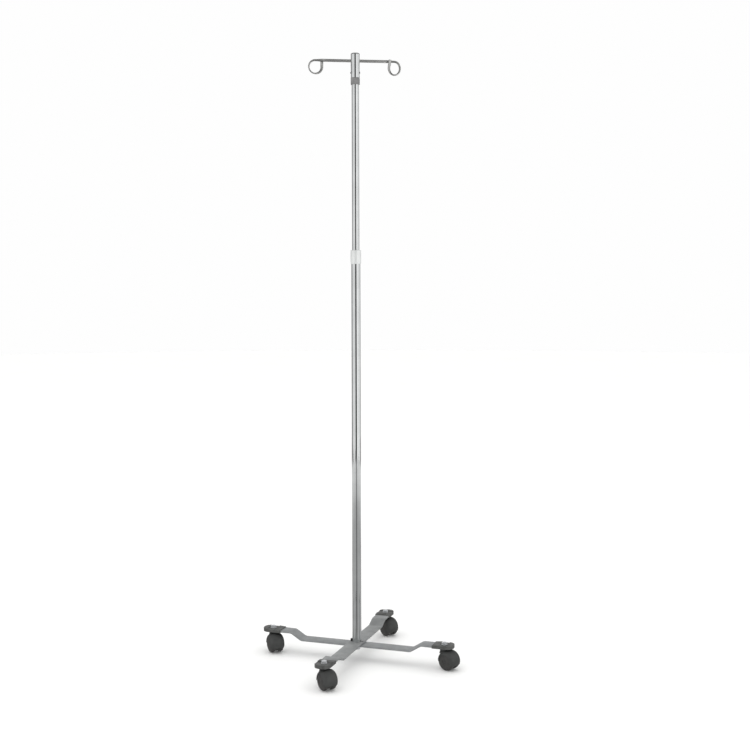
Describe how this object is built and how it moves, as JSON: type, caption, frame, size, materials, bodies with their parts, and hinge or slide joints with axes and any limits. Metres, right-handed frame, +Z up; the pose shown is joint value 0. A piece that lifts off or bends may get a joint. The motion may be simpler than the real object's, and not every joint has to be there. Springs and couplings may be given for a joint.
{
  "type": "iv pole",
  "caption": "Rolling IV stand with crossed flat-bar legs on twin-wheel casters, a telescoping chrome pole with a twist collar, and a crossbar curled into looped hooks.",
  "frame": {"origin": "on the floor, on the pole's axis, which is also the middle of the crossed legs", "axes": "+Z up along the pole; X along the lower leg bar; Y along the upper leg bar, with the front at -Y"},
  "size_m": [0.5758, 0.571, 1.655],
  "materials": {
    "chrome_tube": "polished chrome plate",
    "bright_collar": "bright satin",
    "satin_leg_steel": "satin grey",
    "zinc_fastener": "zinc plated",
    "strap_steel": "plated, semi-bright",
    "charcoal_cap": "moulded, fine texture",
    "black_nylon": "moulded, satin",
    "grey_bush": "moulded, matte",
    "white_acetal": "moulded, satin",
    "dark_steel": "black oxide",
    "spring_steel": "bright"
  },
  "bodies": {
    "base": {"lower_leg_bar": "satin_leg_steel", "upper_leg_bar": "satin_leg_steel", "locating_pin_left": "dark_steel", "locating_pin_right": "dark_steel", "base_bolt": "zinc_fastener", "base_washer": "zinc_fastener", "base_spring_washer": "zinc_fastener", "pole_foot_plug": "white_acetal", "outer_tube": "chrome_tube", "grip_collet": "white_acetal", "cap_front": "charcoal_cap", "stem_front": "zinc_fastener", "stem_washer_front": "zinc_fastener", "stem_nut_front": "zinc_fastener", "cap_left": "charcoal_cap", "stem_left": "zinc_fastener", "stem_washer_left": "zinc_fastener", "stem_nut_left": "zinc_fastener", "cap_right": "charcoal_cap", "stem_right": "zinc_fastener", "stem_washer_right": "zinc_fastener", "stem_nut_right": "zinc_fastener", "cap_rear": "charcoal_cap", "stem_rear": "zinc_fastener", "stem_washer_rear": "zinc_fastener", "stem_nut_rear": "zinc_fastener"},
    "lock_collar": {"lock_collar": "bright_collar"},
    "slider": {"slide_bush": "white_acetal"},
    "mast": {"inner_tube": "chrome_tube", "stop_ring": "grey_bush", "head_sleeve": "chrome_tube", "head_cap": "chrome_tube", "hook_strap": "strap_steel", "button_leaf": "spring_steel"},
    "button_left": {"button_left": "dark_steel"},
    "button_right": {"button_right": "dark_steel"},
    "caster_front": {"housing_front": "black_nylon", "axle_front": "zinc_fastener"},
    "wheel_front_a": {"wheel_front_a": "black_nylon"},
    "wheel_front_b": {"wheel_front_b": "black_nylon"},
    "caster_left": {"housing_left": "black_nylon", "axle_left": "zinc_fastener"},
    "wheel_left_a": {"wheel_left_a": "black_nylon"},
    "wheel_left_b": {"wheel_left_b": "black_nylon"},
    "caster_right": {"housing_right": "black_nylon", "axle_right": "zinc_fastener"},
    "wheel_right_a": {"wheel_right_a": "black_nylon"},
    "wheel_right_b": {"wheel_right_b": "black_nylon"},
    "caster_rear": {"housing_rear": "black_nylon", "axle_rear": "zinc_fastener"},
    "wheel_rear_a": {"wheel_rear_a": "black_nylon"},
    "wheel_rear_b": {"wheel_rear_b": "black_nylon"}
  },
  "joints": [
    {"name": "height_slide", "type": "slide", "parent": "base", "child": "slider", "axis": [0, 0, 1], "range_m": [-0.438, 0.48]},
    {"name": "mast_swivel", "type": "hinge", "parent": "slider", "child": "mast", "pos_m": [0, 0, 1], "axis": [0, 0, 1], "continuous": true},
    {"name": "collar_turn", "type": "hinge", "parent": "base", "child": "lock_collar", "pos_m": [0, 0, 1.112], "axis": [0, 0, 1], "range_deg": [0, 90]},
    {"name": "button_left_press", "type": "slide", "parent": "mast", "child": "button_left", "axis": [-0.9455, -0.3256, 0], "range_m": [-0.0036, 0], "stiffness_N_per_m": 600, "springref_m": 0.003},
    {"name": "button_right_press", "type": "slide", "parent": "mast", "child": "button_right", "axis": [0.9455, 0.3256, 0], "range_m": [-0.0036, 0], "stiffness_N_per_m": 600, "springref_m": 0.003},
    {"name": "swivel_front", "type": "hinge", "parent": "base", "child": "caster_front", "pos_m": [0, -0.252, 0.048], "axis": [0, 0, 1], "continuous": true},
    {"name": "roll_front_a", "type": "hinge", "parent": "caster_front", "child": "wheel_front_a", "pos_m": [0.01208, -0.2625, 0.02479], "axis": [0.6561, 0.7547, 0], "continuous": true},
    {"name": "roll_front_b", "type": "hinge", "parent": "caster_front", "child": "wheel_front_b", "pos_m": [0.01208, -0.2625, 0.02479], "axis": [0.6561, 0.7547, 0], "continuous": true},
    {"name": "swivel_left", "type": "hinge", "parent": "base", "child": "caster_left", "pos_m": [-0.252, 0, 0.048], "axis": [0, 0, 1], "continuous": true},
    {"name": "roll_left_a", "type": "hinge", "parent": "caster_left", "child": "wheel_left_a", "pos_m": [-0.2415, -0.01208, 0.02479], "axis": [0.7547, 0.6561, 0], "continuous": true},
    {"name": "roll_left_b", "type": "hinge", "parent": "caster_left", "child": "wheel_left_b", "pos_m": [-0.2415, -0.01208, 0.02479], "axis": [0.7547, 0.6561, 0], "continuous": true},
    {"name": "swivel_right", "type": "hinge", "parent": "base", "child": "caster_right", "pos_m": [0.252, 0, 0.048], "axis": [0, 0, 1], "continuous": true},
    {"name": "roll_right_a", "type": "hinge", "parent": "caster_right", "child": "wheel_right_a", "pos_m": [0.26673, -0.00625, 0.02479], "axis": [0.3907, 0.9205, 0], "continuous": true},
    {"name": "roll_right_b", "type": "hinge", "parent": "caster_right", "child": "wheel_right_b", "pos_m": [0.26673, -0.00625, 0.02479], "axis": [0.3907, 0.9205, 0], "continuous": true},
    {"name": "swivel_rear", "type": "hinge", "parent": "base", "child": "caster_rear", "pos_m": [0, 0.252, 0.048], "axis": [0, 0, 1], "continuous": true},
    {"name": "roll_rear_a", "type": "hinge", "parent": "caster_rear", "child": "wheel_rear_a", "pos_m": [0.01278, 0.24237, 0.02479], "axis": [0.6018, 0.7986, 0], "continuous": true},
    {"name": "roll_rear_b", "type": "hinge", "parent": "caster_rear", "child": "wheel_rear_b", "pos_m": [0.01278, 0.24237, 0.02479], "axis": [0.6018, 0.7986, 0], "continuous": true}
  ]
}
